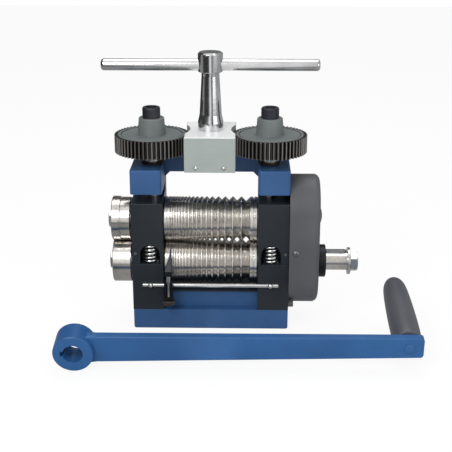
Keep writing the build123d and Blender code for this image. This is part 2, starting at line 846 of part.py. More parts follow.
def pressure_nuts():
    """Bronze nuts pressed up into the top blocks, with a flange on top."""
    nut = bar_z_axis(nut_radius, top_block_bottom, frame_top)
    nut += bar_z_axis(nut_flange_radius, frame_top, frame_top + nut_flange_height)
    nut -= bar_z_axis(screw_radius + RUNNING, top_block_bottom, frame_top + nut_flange_height)
    return [Pos(side * screw_x, 0, 0) * nut for side in (-1, 1)]


def pressure_screw(side):
    tip_z = upper_block_top - tip_sink + SLIDING / 2
    shoulder = top_block_bottom + tip_shoulder
    top = hub_top - cap_plug
    points = [(0, tip_z), (tip_radius, tip_z), (tip_radius, shoulder),
              (screw_radius - edge_chamfer, shoulder), (screw_radius, shoulder + edge_chamfer),
              (screw_radius, top), (0, top)]
    body = turned_on_z(points, side * screw_x)
    return body - bar_z_axis(cap_shank_radius, top - cap_screw_grip, top, side * screw_x)


def top_gear(side):
    """A spur gear with a sunk disc, a tapered hub above it and a plain hub below."""
    face = gear_face(gear_module, gear_teeth, top_pressure_angle, top_backlash)
    body = Pos(side * screw_x, 0, gear_bottom) * extrude(face, gear_height)
    groove_inner = rim_inner - rim_groove
    sunk = [(0, disc_z), (groove_inner, disc_z), (groove_inner, disc_z - rim_groove),
            (rim_inner, disc_z - rim_groove), (rim_inner, gear_top), (0, gear_top)]
    body -= turned_on_z(sunk, side * screw_x)
    hub = [(0, disc_z), (hub_base_radius, disc_z), (hub_top_radius, hub_top - edge_chamfer),
           (hub_top_radius - edge_chamfer, hub_top), (0, hub_top)]
    body += turned_on_z(hub, side * screw_x)
    body += bar_z_axis(lower_hub_radius, gear_bottom - lower_hub_height, gear_bottom, side * screw_x)
    body -= bar_z_axis(screw_radius, gear_bottom - lower_hub_height, hub_top - cap_plug, side * screw_x)
    return body - bar_z_axis(cap_shank_radius, hub_top - cap_plug, hub_top, side * screw_x)


def gear_cap_screw(side):
    screw = socket_screw(cap_shank_radius, cap_plug + cap_screw_grip, cap_screw_radius, cap_screw_height)
    return Pos(side * screw_x, 0, hub_top) * screw


# ---- Gearbox and T handle ----------------------------------------------------------------------------

def gearbox_housing():
    half = gearbox_width / 2
    body = slab((-half, half), (-gearbox_front, gearbox_back), (frame_top, gearbox_top))
    body = chamfer(body.faces().sort_by(Axis.Z)[-1].edges(), edge_chamfer)
    room_y = (-gearbox_front + gearbox_wall, gearbox_back - gearbox_wall)
    body -= slab((-half, half), room_y, (frame_top, roof_bottom))
    for side in (-1, 1):
        body -= bar_z_axis(gear_tip_radius + gear_window, gear_bottom - FREE, gearbox_top, side * screw_x)
        screw_at = (side * gearbox_screw_x, gearbox_screw_z)
        body -= bar_y(gearbox_screw_radius, -gearbox_front, gearbox_back, *screw_at)
    return body - bar_z_axis(post_bush_radius, roof_bottom, gearbox_top)


def gearbox_base():
    """The floor inside the gearbox. It stands on the tie bar and carries the lower bush."""
    half = gearbox_width / 2
    room_y = (-gearbox_front + gearbox_wall, gearbox_back - gearbox_wall)
    body = slab((-half, half), room_y, (frame_top, floor_top))
    for side in (-1, 1):
        for end, inward in ((room_y[0], 1), (room_y[1], -1)):
            depth = end + inward * gearbox_screw_grip
            body -= bar_y(gearbox_screw_radius, end, depth, side * gearbox_screw_x, gearbox_screw_z)
        bolt_end = floor_top - gearbox_bolt_skin
        body -= bar_z_axis(gearbox_bolt_radius, frame_top, bolt_end, side * gearbox_bolt_x, gearbox_bolt_y)
    return body - bar_z_axis(post_bush_radius, frame_top, floor_top)


def gearbox_screws():
    """Small screws through the front and back walls into the floor."""
    screw = slotted_screw(gearbox_screw_radius, gearbox_wall + gearbox_screw_grip,
                          gearbox_screw_head, gearbox_screw_head_height)
    front = [Pos(side * gearbox_screw_x, -gearbox_front, gearbox_screw_z) * facing_y(-1) * screw
             for side in (-1, 1)]
    back = [Pos(side * gearbox_screw_x, gearbox_back, gearbox_screw_z) * facing_y(1) * screw
            for side in (-1, 1)]
    return front + back


def gearbox_bolts():
    length = tie_bar_height - gearbox_bolt_head_height - head_sink + gearbox_floor - gearbox_bolt_skin
    bolt = socket_screw(gearbox_bolt_radius, length, gearbox_bolt_head, gearbox_bolt_head_height)
    seat = frame_top - tie_bar_height + gearbox_bolt_head_height + head_sink
    return [Pos(side * gearbox_bolt_x, gearbox_bolt_y, seat) * Rot(180, 0, 0) * bolt for side in (-1, 1)]


def post_bushes():
    bushes = []
    for low, high in ((roof_bottom, gearbox_top), (frame_top, floor_top)):
        bush = bar_z_axis(post_bush_radius, low, high)
        bushes.append(bush - bar_z_axis(post_shaft_radius + RUNNING, low, high))
    return bushes


def t_post():
    bottom = gearbox_top + SLIDING
    head_bottom = post_top - post_head_height
    end = frame_top + post_end
    base_top = bottom + post_base_height
    points = [(0, end), (post_shaft_radius, end), (post_shaft_radius, bottom), (post_base_radius, bottom),
              (post_base_radius, base_top), (post_taper_radius, base_top + post_taper),
              (post_waist_radius, post_waist_z), (post_waist_radius, head_bottom),
              (post_head_radius - edge_chamfer, head_bottom), (post_head_radius, head_bottom + edge_chamfer),
              (post_head_radius, post_top - post_head_bevel), (post_head_radius - post_head_bevel, post_top),
              (0, post_top)]
    body = turned_on_z(points)
    return body - bar_x(bar_radius, -post_head_radius, post_head_radius, 0, bar_z) - pinion_key()


def t_bar():
    half = bar_length / 2
    body = bar_x(bar_radius, -half, half, 0, bar_z)
    return fillet(body.edges().filter_by(GeomType.CIRCLE), bar_end_round)


def pinion():
    low, high = floor_top + FREE, roof_bottom - FREE
    face = gear_face(gear_module, pinion_teeth, top_pressure_angle, top_backlash)
    body = Pos(0, 0, low) * extrude(face, high - low)
    return body - bar_z_axis(post_shaft_radius, low, high) - pinion_key()


def pinion_key():
    low, high = floor_top + FREE, roof_bottom - FREE
    half = pinion_key_width / 2
    return slab((-half, half), (-post_shaft_radius - half, -post_shaft_radius + half), (low, high))


# ---- Gear cover --------------------------------------------------------------------------------------

def stadium_prism(radius, start, end):
    """A prism along X, round at the top and bottom, as the cover's outline."""
    low = bar_x(radius, start, end, 0, cover_low_z)
    high = bar_x(radius, start, end, 0, cover_high_z)
    return low + high + slab((start, end), (-radius, radius), (cover_low_z, cover_high_z))


def gear_cover():
    outside = stadium_prism(cover_radius, outer_face, cover_end)
    outside = fillet(outside.faces().sort_by(Axis.X)[-1].edges(), cover_fillet)
    inner_end = cover_end - cover_wall
    body = outside - stadium_prism(cover_radius - cover_wall, outer_face, inner_end)
    body += bar_x(cover_cap_radius, cover_end, cover_end + cover_cap_seat, 0, cover_cap_z)
    for y, z in housing_cover_screws + block_cover_screws:
        body += bar_x(cover_post_radius, outer_face, inner_end, y, z)
        body -= bar_x(cover_screw_radius, outer_face, cover_end, y, z)
        body -= bar_x(cover_screw_head + bolt_room, cover_screw_seat, cover_end, y, z)
    body -= bar_y(cover_plug_radius, -cover_radius, -cover_radius + cover_wall, cover_plug_x, cover_plug_z)
    return body - bar_x(drive_seat_radius + cover_shaft_room, inner_end, cover_end, 0, lower_axis_z)


def cover_plug():
    """A slotted plug in the cover's front, for greasing the gears."""
    plug = slotted_screw(cover_plug_radius, cover_wall, cover_plug_head, cover_plug_head_height)
    return Pos(cover_plug_x, -cover_radius, cover_plug_z) * facing_y(-1) * Rot(0, 0, 90) * plug


def cover_cap():
    """The shallow domed cap over the upper shaft's travel."""
    cap = dome(cover_cap_radius, cover_cap_height)
    return Pos(cover_end + cover_cap_seat, 0, cover_cap_z) * facing_x(1) * cap


def cover_screws():
    length = cover_screw_seat - outer_face + cover_screw_grip
    screw = socket_screw(cover_screw_radius, length, cover_screw_head, cover_screw_head_height)
    places = housing_cover_screws + block_cover_screws
    return [Pos(cover_screw_seat, y, z) * facing_x(1) * screw for y, z in places]


def side_bolt():
    bolt = hex_bolt(side_bolt_radius, side_bolt_grip, side_bolt_flats, side_bolt_head)
    return Pos(outer_face, side_bolt_y, side_bolt_z) * facing_x(1) * bolt


# ---- Guide rod and wire guide ------------------------------------------------------------------------

def guide_rod():
    body = bar_x(rod_radius, -rod_half_length, rod_half_length, rod_y, rod_z)
    body = chamfer(body.edges().filter_by(GeomType.CIRCLE), edge_chamfer)
    rod_front = rod_y - rod_radius
    reach = rod_screw_head + SLIDING
    for side in (-1, 1):
        x = side * rod_screw_x
        body -= bar_y(rod_screw_shank, rod_front, rod_y + rod_radius, x, rod_z)
        body -= slab((x - reach, x + reach), (rod_front, rod_front + rod_flat),
                     (rod_z - rod_radius, rod_z + rod_radius))
    return body


def rod_screws():
    seat = rod_y - rod_radius + rod_flat
    length = -front_reach + rod_screw_grip - seat
    screw = slotted_screw(rod_screw_shank, length, rod_screw_head, rod_screw_head_height)
    return [Pos(side * rod_screw_x, seat, rod_z) * facing_y(-1) * screw for side in (-1, 1)]


def guide_slider():
    half = slider_width / 2
    across = (slider_x - half, slider_x + half)
    body = slab(across, (slider_front, slider_back), (slider_bottom, slider_top))
    body -= bar_x(rod_radius + RUNNING, across[0], across[1], rod_y, rod_z)
    slot = (slider_front, stud_y + slot_half)
    body -= slab((slider_x - slot_half, slider_x + slot_half), slot, (slider_bottom + slider_lip, slider_top))
    return body - bar_z_axis(slot_half, slider_bottom, slider_bottom + slider_lip, slider_x, stud_y)


def guide_stud():
    low = slider_bottom - thumb_nut_height - stud_reach
    return bar_z_axis(stud_radius, low, finger_base_z + stud_grip, slider_x, stud_y)


def guide_finger():
    """A wedge: its front outline narrows to the tip, and its side outline leans back to the rollers."""
    half = finger_width / 2
    tip_half = finger_tip_width / 2
    left, right = slider_x - half, slider_x + half
    tip_x = slider_x + finger_tip_offset
    bevel_z = finger_tip_z - finger_bevel_height
    swell_z = finger_base_z + finger_swell_height
    front = make_face(Polyline((left, finger_base_z), (right, finger_base_z), (right + finger_swell, swell_z),
                               (tip_x + tip_half, finger_tip_z), (tip_x - tip_half, finger_tip_z),
                               (tip_x - tip_half - finger_bevel_width, bevel_z),
                               (left, swell_z), close=True))
    depth_half = finger_depth / 2
    near, far = stud_y - depth_half, stud_y + depth_half
    tip_far = finger_tip_y + finger_tip_depth / 2
    tip_near = finger_tip_y - finger_tip_depth / 2
    side = make_face(Polyline((near, finger_base_z), (far, finger_base_z), (far + finger_swell, swell_z),
                              (tip_far, finger_tip_z), (tip_near, finger_tip_z), (near, swell_z), close=True))
    depth = Pos(0, tip_far, 0) * extrude(Plane.XZ * front, tip_far - near)
    width = Pos(left, 0, 0) * extrude(Plane.YZ * side, finger_width + finger_swell)
    wedge = depth & width
    return wedge - bar_z_axis(stud_radius, finger_base_z, finger_base_z + stud_grip, slider_x, stud_y)


def thumb_nut():
    """The knurled disc under the slider."""
    high = slider_bottom - SLIDING / 2
    low = high - thumb_nut_height
    body = bar_z_axis(thumb_nut_radius, low, high, slider_x, stud_y)
    body = chamfer(body.edges().filter_by(GeomType.CIRCLE), thumb_nut_chamfer)
    cutter = Rot(0, 0, 45) * Box(knurl_size, knurl_size, thumb_nut_height)
    for index in range(knurl_count):
        turn = Rot(0, 0, 360 * index / knurl_count)
        body -= Pos(slider_x, stud_y, (low + high) / 2) * turn * Pos(thumb_nut_radius, 0, 0) * cutter
    return body - bar_z_axis(stud_radius + RUNNING, low, high, slider_x, stud_y)


# ---- Crank -------------------------------------------------------------------------------------------
# It is drawn with the eye's axis on Y and the arm along +X, then laid in its place.

def laid_down(shape):
    turned = Rot(0, 0, crank_turn) * Rot(crank_tilt, 0, 0) * Rot(0, crank_fall, 0)
    return Pos(*crank_eye) * turned * shape


def crank_arm():
    half = arm_thickness / 2
    end = crank_length + arm_tail
    outline = Polyline((0, arm_eye_height / 2), (end, arm_grip_height / 2), (end, -arm_grip_height / 2),
                       (0, -arm_eye_height / 2), close=True)
    arm = Pos(0, half, 0) * extrude(Plane.XZ * make_face(outline), arm_thickness)
    far_edges = arm.edges().filter_by(Axis.Y).sort_by(Axis.X)[-2:]
    arm = fillet(far_edges, arm_corner)
    arm = fillet(arm.faces().filter_by(Axis.Y).edges(), arm_edge)
    eye = bar_y(eye_radius, -eye_length / 2, eye_length / 2)
    eye = chamfer(eye.edges().filter_by(GeomType.CIRCLE), edge_chamfer)
    body = arm + eye
    body -= bar_y(drive_seat_radius + eye_clearance, -eye_length / 2, eye_length / 2)
    keyway_half = crank_key_width / 2 + keyway_side
    top = drive_seat_radius + crank_key_height + keyway_top
    body -= slab((-top, 0), (-eye_length / 2, eye_length / 2), (-keyway_half, keyway_half))
    body -= bar_y(grip_pin_radius, -half, half, crank_length)
    return body


def grip_pin():
    """The pin that the grip turns on, riveted over on the arm's front."""
    half = arm_thickness / 2
    pin = bar_y(grip_pin_radius, -half, half + grip_pin_reach, crank_length)
    head = Pos(crank_length, -half, 0) * facing_y(-1) * dome(rivet_radius, rivet_height)
    return pin + head


def crank_grip():
    start = arm_thickness / 2 + grip_gap
    shoulder = grip_length - grip_end_length
    outline = Line((0, 0), (grip_neck_radius, 0))
    swelling = (grip_wide_radius - grip_neck_radius, grip_neck_length)
    outline += Spline((grip_neck_radius, 0), (grip_wide_radius, grip_length / 3), (grip_end_radius, shoulder),
                      (0, grip_length), tangents=[swelling, (-1, 0)])
    outline += Line((0, grip_length), (0, 0))
    body = revolve(Plane.XY * make_face(outline), Axis.Y)
    body -= bar_y(grip_pin_radius + RUNNING, 0, grip_pin_reach + grip_pin_room)
    return Pos(crank_length, start, 0) * body


# ---- Write the nodes ---------------------------------------------------------------------------------

save("base", base())
save("left_housing", housing(-1))
save("right_housing", housing(1))
save("tie_bar", tie_bar())
save("cross_beam", cross_beam())
save("frame_bolts", *frame_bolts())
save("tie_bolts", *tie_bolts())
save("left_lower_block", lower_block(-1))
save("right_lower_block", lower_block(1))
save("lower_bushes", *bush_pair(lower_axis_z))
save("guide_strips", *guide_strips())
save("left_upper_block", upper_block(-1))
save("right_upper_block", upper_block(1))
save("upper_bushes", *bush_pair(upper_axis_z))
save("oilers", *oilers())
save("left_lift_spring", lift_spring(-1))
save("right_lift_spring", lift_spring(1))
save("upper_roller", upper_roller())
save("lower_roller", lower_roller())
save("upper_extension_roller", extension_roller(upper_axis_z, True))
save("lower_extension_roller", extension_roller(lower_axis_z, False))
save("upper_shaft_nuts", shaft_nut(-extension_outer, -1, upper_axis_z), shaft_nut(drive_end, 1, upper_axis_z))
save("lower_shaft_nut", shaft_nut(-extension_outer, -1, lower_axis_z))
save("upper_drive_gear", drive_gear(upper_axis_z))
save("lower_drive_gear", drive_gear(lower_axis_z))
save("upper_gear_key", drive_key_block(upper_axis_z))
save("lower_shaft_keys", drive_key_block(lower_axis_z), crank_key())
save("drive_collar", drive_collar())
save("shaft_washer", shaft_washer())
save("shaft_bolt", shaft_bolt())
save("pressure_nuts", *pressure_nuts())
save("left_pressure_screw", pressure_screw(-1))
save("right_pressure_screw", pressure_screw(1))
save("left_top_gear", top_gear(-1))
save("right_top_gear", top_gear(1))
save("left_cap_screw", gear_cap_screw(-1))
save("right_cap_screw", gear_cap_screw(1))
save("gearbox_housing", gearbox_housing())
save("gearbox_base", gearbox_base())
save("gearbox_screws", *gearbox_screws())
save("gearbox_bolts", *gearbox_bolts())
save("post_bushes", *post_bushes())
save("t_post", t_post())
save("t_bar", t_bar())
save("pinion", pinion())
save("pinion_key", pinion_key())
save("gear_cover", gear_cover())
save("cover_cap", cover_cap())
save("cover_plug", cover_plug())
save("cover_screws", *cover_screws())
save("side_bolt", side_bolt())
save("guide_rod", guide_rod())
save("rod_screws", *rod_screws())
save("guide_slider", guide_slider())
save("guide_stud", guide_stud())
save("guide_finger", guide_finger())
save("thumb_nut", thumb_nut())
save("crank_arm", laid_down(crank_arm()))
save("grip_pin", laid_down(grip_pin()))
save("crank_grip", laid_down(crank_grip()))
print(f"least gap between turns of a lift spring: {spring_gap():.2f} mm")
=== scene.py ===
# %% [markdown]
# # A jewellers rolling mill
# A goldsmith feeds wire or sheet between two steel rollers, turns the crank and closes the gap a little after
# each pass with the T handle on top. The CAD model already has every machined piece at its true size. This
# lesson gives those pieces the finishes of the real machine: wet-looking blue enamel, sprayed black blocks,
# ground and polished steel, and moulded plastic. The crank's grip is modelled again with a softer outline,
# and the crank gets the bead of its weld.

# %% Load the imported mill
from math import radians

import bpy
from mathutils import Matrix, Vector


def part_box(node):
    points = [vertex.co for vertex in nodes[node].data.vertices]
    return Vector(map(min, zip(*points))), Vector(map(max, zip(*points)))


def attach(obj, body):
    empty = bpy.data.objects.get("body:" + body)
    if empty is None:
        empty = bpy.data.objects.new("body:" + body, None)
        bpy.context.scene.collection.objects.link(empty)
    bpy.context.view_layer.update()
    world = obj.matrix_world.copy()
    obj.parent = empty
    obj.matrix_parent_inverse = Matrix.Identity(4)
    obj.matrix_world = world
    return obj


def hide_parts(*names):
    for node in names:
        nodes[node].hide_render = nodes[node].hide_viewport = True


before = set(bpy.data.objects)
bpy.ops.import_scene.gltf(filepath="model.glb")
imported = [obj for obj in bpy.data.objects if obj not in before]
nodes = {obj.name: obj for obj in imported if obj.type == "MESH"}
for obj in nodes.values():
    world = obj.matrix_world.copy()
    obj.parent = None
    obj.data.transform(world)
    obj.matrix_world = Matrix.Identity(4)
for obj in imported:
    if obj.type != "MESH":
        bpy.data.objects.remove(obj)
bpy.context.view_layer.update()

# %% [markdown]
# ## The camera
# The camera stands where the photographer's did. A long lens from 1.2 metres away keeps the uprights nearly
# parallel, and looking down by about twenty degrees shows the tops of the gears and of the rollers. The
# angles come from edges of the frame that are level or upright on the real machine. The Standard view shows
# a colour as it is written, so a white ground comes out white.

# %% Set the camera
focal_length, sensor_width = 79.65, 36.0     # millimetres
camera_place = (0.0401, -1.1120, 0.5106)
looks_down, turns_left = 19.48, 1.17         # degrees
nearest, farthest = 0.05, 20.0
camera_data = bpy.data.cameras.new("camera")
camera_data.lens = focal_length
camera_data.sensor_width = sensor_width
camera_data.clip_start = nearest
camera_data.clip_end = farthest
camera = bpy.data.objects.new("camera", camera_data)
bpy.context.scene.collection.objects.link(camera)
camera.location = camera_place
camera.rotation_euler = (radians(90 - looks_down), 0, radians(turns_left))
bpy.context.scene.camera = camera
bpy.context.scene.view_settings.view_transform = "Standard"
print("camera stands", round(camera.location.length, 2), "m away")

# %% [markdown]
# ## A small helper for materials
# Node trees are hard to read when each link is made by hand. This class wraps one socket, so that Python's
# own operators add Math nodes: `1 - mask * 0.3` becomes two nodes. Colours go through Mix nodes instead,
# because a Math node would turn them grey.

# %% Wrap a socket
class Signal:
    """A value on its way through a finish's nodes."""

    def __init__(self, finish, socket):
        self.finish = finish
        self.socket = socket

    def maths(self, operation, first, second=0.0):
        return self.finish.maths(operation, first, second)

    def __add__(self, other):
        return self.maths("ADD", self, other)

    def __radd__(self, other):
        return self.maths("ADD", other, self)

    def __sub__(self, other):
        return self.maths("SUBTRACT", self, other)

    def __rsub__(self, other):
        return self.maths("SUBTRACT", other, self)

    def __mul__(self, other):
        return self.maths("MULTIPLY", self, other)

    def __rmul__(self, other):
        return self.maths("MULTIPLY", other, self)

    def __truediv__(self, other):
        return self.maths("DIVIDE", self, other)

    def above(self, low, high):
        """0 below low, 1 above high and a soft step between them."""
        settings = {"interpolation_type": "SMOOTHSTEP"}
        return self.finish.node("ShaderNodeMapRange", settings, {0: self, 1: low, 2: high, 3: 0.0, 4: 1.0})

    def larger(self, other):
        return self.maths("MAXIMUM", self, other)

    def size(self):
        return self.maths("ABSOLUTE", self)


# %% [markdown]
# ## A finish
# Every finish here is one Principled shader. Its texture is worked out from Object coordinates, which are the
# mill's own metres, so grain has the same size on a large piece and on a small one. The Bevel node rounds
# sharp edges in the shading alone, so a machined edge catches a thin line of light without any new faces.

# %% Make a finish
RAY_DIRECTION, OBJECT_PLACE = 0, 3           # outputs of a Texture Coordinate node
CAMERA_RAY, GLOSSY_RAY, CLEAR_RAY = 0, 3, 6  # outputs of a Light Path node


class Finish:
    """A material with one Principled shader and the nodes that feed it."""

    def __init__(self, name, tree=None):
        self.material = None
        self.tree = tree
        if tree is None:
            self.material = bpy.data.materials.new(name)
            self.material.use_nodes = True
            self.tree = self.material.node_tree
        self.tree.nodes.clear()

    def plug(self, socket, value):
        if isinstance(value, Signal):
            self.tree.links.new(value.socket, socket)
        else:
            socket.default_value = value

    def node(self, kind, settings=None, inputs=None, output=0):
        """Add a node, set it up, feed its inputs and give back one of its outputs."""
        made = self.tree.nodes.new(kind)
        for name, value in (settings or {}).items():
            setattr(made, name, value)
        for key, value in (inputs or {}).items():
            self.plug(made.inputs[key], value)
        if len(made.outputs) > 0:
            return Signal(self, made.outputs[output])

    def maths(self, operation, first, second=0.0):
        return self.node("ShaderNodeMath", {"operation": operation}, {0: first, 1: second})

    def place(self, scale=(1.0, 1.0, 1.0), move=(0.0, 0.0, 0.0)):
        """Object coordinates, stretched and moved."""
        coordinates = self.node("ShaderNodeTexCoord", output=OBJECT_PLACE)
        return self.node("ShaderNodeMapping", {}, {0: coordinates, 1: move, 3: scale})

    def along(self, axis, where=None):
        """One of the three coordinates of a place: 0 for X, 1 for Y or 2 for Z."""
        return self.node("ShaderNodeSeparateXYZ", {}, {0: where or self.place()}, output=axis)

    def rays(self):
        """Two masks: what the camera sees directly, and what it sees in or through another piece."""
        camera_ray, glossy_ray, clear_ray = [self.node("ShaderNodeLightPath", output=kind)
                                             for kind in (CAMERA_RAY, GLOSSY_RAY, CLEAR_RAY)]
        return camera_ray, glossy_ray.larger(clear_ray)

    def noise(self, where, scale, detail=3.0, roughness=0.55):
        inputs = {"Vector": where, "Scale": scale, "Detail": detail, "Roughness": roughness}
        return self.node("ShaderNodeTexNoise", {}, inputs)

    def mix(self, mask, first, second):
        """A colour between two colours."""
        return self.node("ShaderNodeMix", {"data_type": "RGBA"}, {0: mask, 6: first, 7: second}, output=2)

    def soft_edges(self, radius):
        return self.node("ShaderNodeBevel", {"samples": 4}, {"Radius": radius})

    def bump(self, height, depth, normal):
        return self.node("ShaderNodeBump", {}, {"Strength": 1.0, "Distance": depth, "Height": height,
                                                "Normal": normal})

    def edge_mask(self, edges, low=0.02, high=0.25):
        """1 where the softened normal leans away from the flat face."""
        flat = self.node("ShaderNodeNewGeometry", output=1)
        agree = self.node("ShaderNodeVectorMath", {"operation": "DOT_PRODUCT"}, {0: edges, 1: flat}, output=1)
        return (1 - agree).above(low, high)

    def shade(self, **sockets):
        """Finish with a Principled shader. Underscores stand for spaces in the names of its sockets."""
        inputs = {name.replace("_", " "): value for name, value in sockets.items()}
        shader = self.node("ShaderNodeBsdfPrincipled", {}, inputs)
        self.node("ShaderNodeOutputMaterial", {}, {"Surface": shader})
        return self.material


def grey(value):
    return (value, value, value, 1.0)


# %% [markdown]
# ## Studio
# The photograph is a catalogue picture: a white ground, and light that is soft but comes mostly from the
# front and a little from the left. Polished steel shows its surroundings, so they are part of its finish. To
# mirrors, this studio has one bright panel in front, a dark corner on the left, grey on the right and a
# bright ceiling. The camera looks down, so upright metal mirrors the floor and not the walls, and the same
# panel and corners are painted on the floor for mirrors alone. They draw the dark left flank, the white strip
# and the grey right side of the upright post. Each mask below fades in between two values of a direction's
# unit coordinates, or of metres on the floor.

# %% Light the world
lit_by = 0.6
panel_glow, right_glow, ceiling_glow, far_glow, dark_glow = 0.95, 0.42, 0.85, 0.12, 0.06
world = bpy.data.worlds.new("studio")
bpy.context.scene.world = world
world.use_nodes = True
sky = Finish("studio", world.node_tree)
direction = sky.node("ShaderNodeTexCoord", output=RAY_DIRECTION)
across, back, height = [sky.along(axis, direction) for axis in range(3)]
panel = 1 - (across + 0.08).size().above(0.08, 0.34)
in_front = 1 - back.above(-0.2, 0.1)
right_side = across.above(0.25, 0.6)
ceiling = height.above(0.7, 0.93)
far_wall = back.above(0.75, 0.97)
walls = (panel * in_front * panel_glow).larger(right_side * right_glow)
mirrored = walls.larger(ceiling * ceiling_glow).larger(far_wall * far_glow) + dark_glow
direct, polished = sky.rays()
shown = direct + (1 - direct) * (polished * mirrored + (1 - polished) * lit_by)
background = sky.node("ShaderNodeBackground", {}, {0: grey(1.0), 1: shown})
sky.node("ShaderNodeOutputWorld", {}, {0: background})
print("diffuse light from the world:", lit_by)


# %% Hang the lamps
def soft_lamp(name, place, aim, size, power):
    """A square lamp at one point that shines at another."""
    data = bpy.data.lights.new(name, "AREA")
    data.size = size
    data.energy = power
    lamp = bpy.data.objects.new(name, data)
    bpy.context.scene.collection.objects.link(lamp)
    lamp.location = place
    lamp.rotation_euler = (Vector(aim) - Vector(place)).to_track_quat("-Z", "Y").to_euler()
    return lamp


middle = (0.02, 0.0, 0.14)
lamps = [soft_lamp("key", (-0.55, -1.15, 1.05), middle, 0.7, 13.0),
         soft_lamp("fill", (0.95, -0.9, 0.55), middle, 0.9, 4.0),
         soft_lamp("top", (0.1, 0.35, 1.25), middle, 0.8, 5.0)]
print("lamps:", [lamp.name for lamp in lamps])

# %% [markdown]
# ## Floor
# The floor is white to the camera, as in the photograph, and only keeps the mill's soft shadow. Its material
# mixes a plain diffuse surface with a little of its own light, seen by the camera and by polished metal only.

# %% Lay the floor
floor_size, floor_white = 6.0, 0.86
own_share = 0.9                              # of the floor's look to the camera, the rest is diffuse
strip_glow, right_floor_glow, near_glow, floor_dark = 0.9, 0.4, 0.3, 0.04
bpy.ops.mesh.primitive_plane_add(size=floor_size, location=(0, 0, 0))
floor = bpy.context.object
floor.name = "floor"
ground = Finish("floor")
direct, polished = ground.rays()
matt = ground.node("ShaderNodeBsdfDiffuse", {}, {"Color": grey(floor_white)})
floor_x, floor_y = ground.along(0), ground.along(1)
sideways = floor_x / floor_y.size().larger(0.01)
near = 1 - (floor_y + 0.05).size().above(0.42, 0.62)
strip = 1 - (sideways - 0.02).size().above(0.1, 0.26)
right_floor = sideways.above(0.2, 0.5)
painted = (strip * strip_glow).larger(right_floor * right_floor_glow)
mirrored_floor = painted.larger(near * near_glow) + floor_dark
own_light = direct * own_share + (1 - direct) * polished
strength = direct + (1 - direct) * mirrored_floor
glow_of = ground.node("ShaderNodeEmission", {}, {"Color": grey(1.0), "Strength": strength})
both = ground.node("ShaderNodeMixShader", {}, {0: own_light, 1: matt, 2: glow_of})
ground.node("ShaderNodeOutputMaterial", {}, {0: both})
floor.data.materials.append(ground.material)
print("floor:", round(floor.dimensions.x, 1), "m wide")

# %% [markdown]
# ## Enamel
# The frame and the crank are cast or cut steel under a thick blue enamel. Real enamel isn't one flat blue: it
# is a little thin on sharp edges, it has a faint orange-peel skin, and its gloss changes with handling. The
# skin is a Bump from two sizes of noise, and the thin edges use the Bevel node's normal as a mask.

# %% Mix the enamels
painted_shade_black = (0.006, 0.008, 0.011, 1.0)
enamel_edge, skin_depth = 0.0009, 0.00006    # metres
deep_share, worn_share = 0.82, 0.55


def enamel(name, colour, thin, gloss, shadow=None):
    """Thick paint. shadow, if given, makes the mask of a painted shade, where the paint is darkened towards
    black.
    """
    paint = Finish(name)
    where = paint.place()
    clouds = paint.noise(where, 14.0, 3.0)
    skin = paint.noise(where, 420.0, 2.0)
    edges = paint.soft_edges(enamel_edge)
    worn = paint.edge_mask(edges, 0.05, 0.5) * paint.noise(where, 160.0, 4.0).above(0.38, 0.62)
    deep = tuple(deep_share * channel for channel in colour[:3]) + (1.0,)
    tint = paint.mix(clouds.above(0.35, 0.7), deep, colour)
    tint = paint.mix(worn * worn_share, tint, thin)
    if shadow:
        # Painted shade: where a mask is given, the paint darkens towards black there.
        tint = paint.mix(shadow(paint), tint, painted_shade_black)
    rough = gloss + clouds * 0.12
    normal = paint.bump(skin, skin_depth, edges)
    return paint.shade(Base_Color=tint, Roughness=rough, Normal=normal, Specular_IOR_Level=0.28,
                       Coat_Weight=0.08, Coat_Roughness=0.2)


# The beam's top under the rollers gets a painted shade: its paint is darkened almost to black.
beam_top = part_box("cross_beam")[1].z
shade_start, shade_full, shade_share = 0.0024, 0.0012, 0.92


def painted_shade_top(paint):
    """Painted shade on the beam's top, under the rollers, which shadow it."""
    return paint.along(2).above(beam_top - shade_start, beam_top - shade_full) * shade_share


casting_blue, thin_blue, casting_gloss = (0.028, 0.088, 0.222, 1), (0.1, 0.2, 0.38, 1), 0.4
frame_blue = enamel("frame_blue", casting_blue, thin_blue, casting_gloss)
beam_blue = enamel("beam_blue", casting_blue, thin_blue, casting_gloss, painted_shade_top)
crank_blue = enamel("crank_blue", (0.022, 0.1, 0.272, 1), (0.16, 0.3, 0.52, 1), 0.3)
block_black = enamel("block_black", (0.016, 0.021, 0.027, 1), (0.06, 0.067, 0.076, 1), 0.34)
cover_grey = enamel("cover_grey", (0.088, 0.093, 0.1, 1), (0.17, 0.17, 0.175, 1), 0.42)
print("the beam's top is at", round(beam_top * 1000, 1), "mm")

# %% [markdown]
# ## Steel
# Steel is bright or dark by how it was cut. Turned and ground pieces have fine rings that run round their
# axis, so their grain is noise that is squeezed hard along that axis and hardly at all across it. Fixing the
# axis in the Mapping node keeps the rings still while the piece turns.

# %% Cut the steels
steel_edge = 0.0004
dark_share = 0.66
stain_brown = (0.085, 0.07, 0.058, 1.0)


def steel(name, colour, rough, squeeze, ring_depth, spots=0.0):
    """A metal whose grain is squeezed along the axis it was turned about."""
    metal = Finish(name)
    where = metal.place()
    rings = metal.noise(metal.place(scale=squeeze), 1.0, 4.0, 0.7)
    patches = metal.noise(where, 45.0, 4.0)
    edges = metal.soft_edges(steel_edge)
    dark = tuple(dark_share * channel for channel in colour[:3]) + (1.0,)
    base = metal.mix(patches.above(0.3, 0.72) * 0.6 + rings * 0.4, dark, colour)
    stain = metal.noise(where, 230.0, 5.0).above(0.56, 0.72) * spots
    tint = metal.mix(stain, base, stain_brown)
    roughness = rough + rings * 0.12 + patches * 0.03
    normal = metal.bump(rings, ring_depth, edges)
    return metal.shade(Base_Color=tint, Metallic=1.0, Roughness=roughness, Normal=normal)


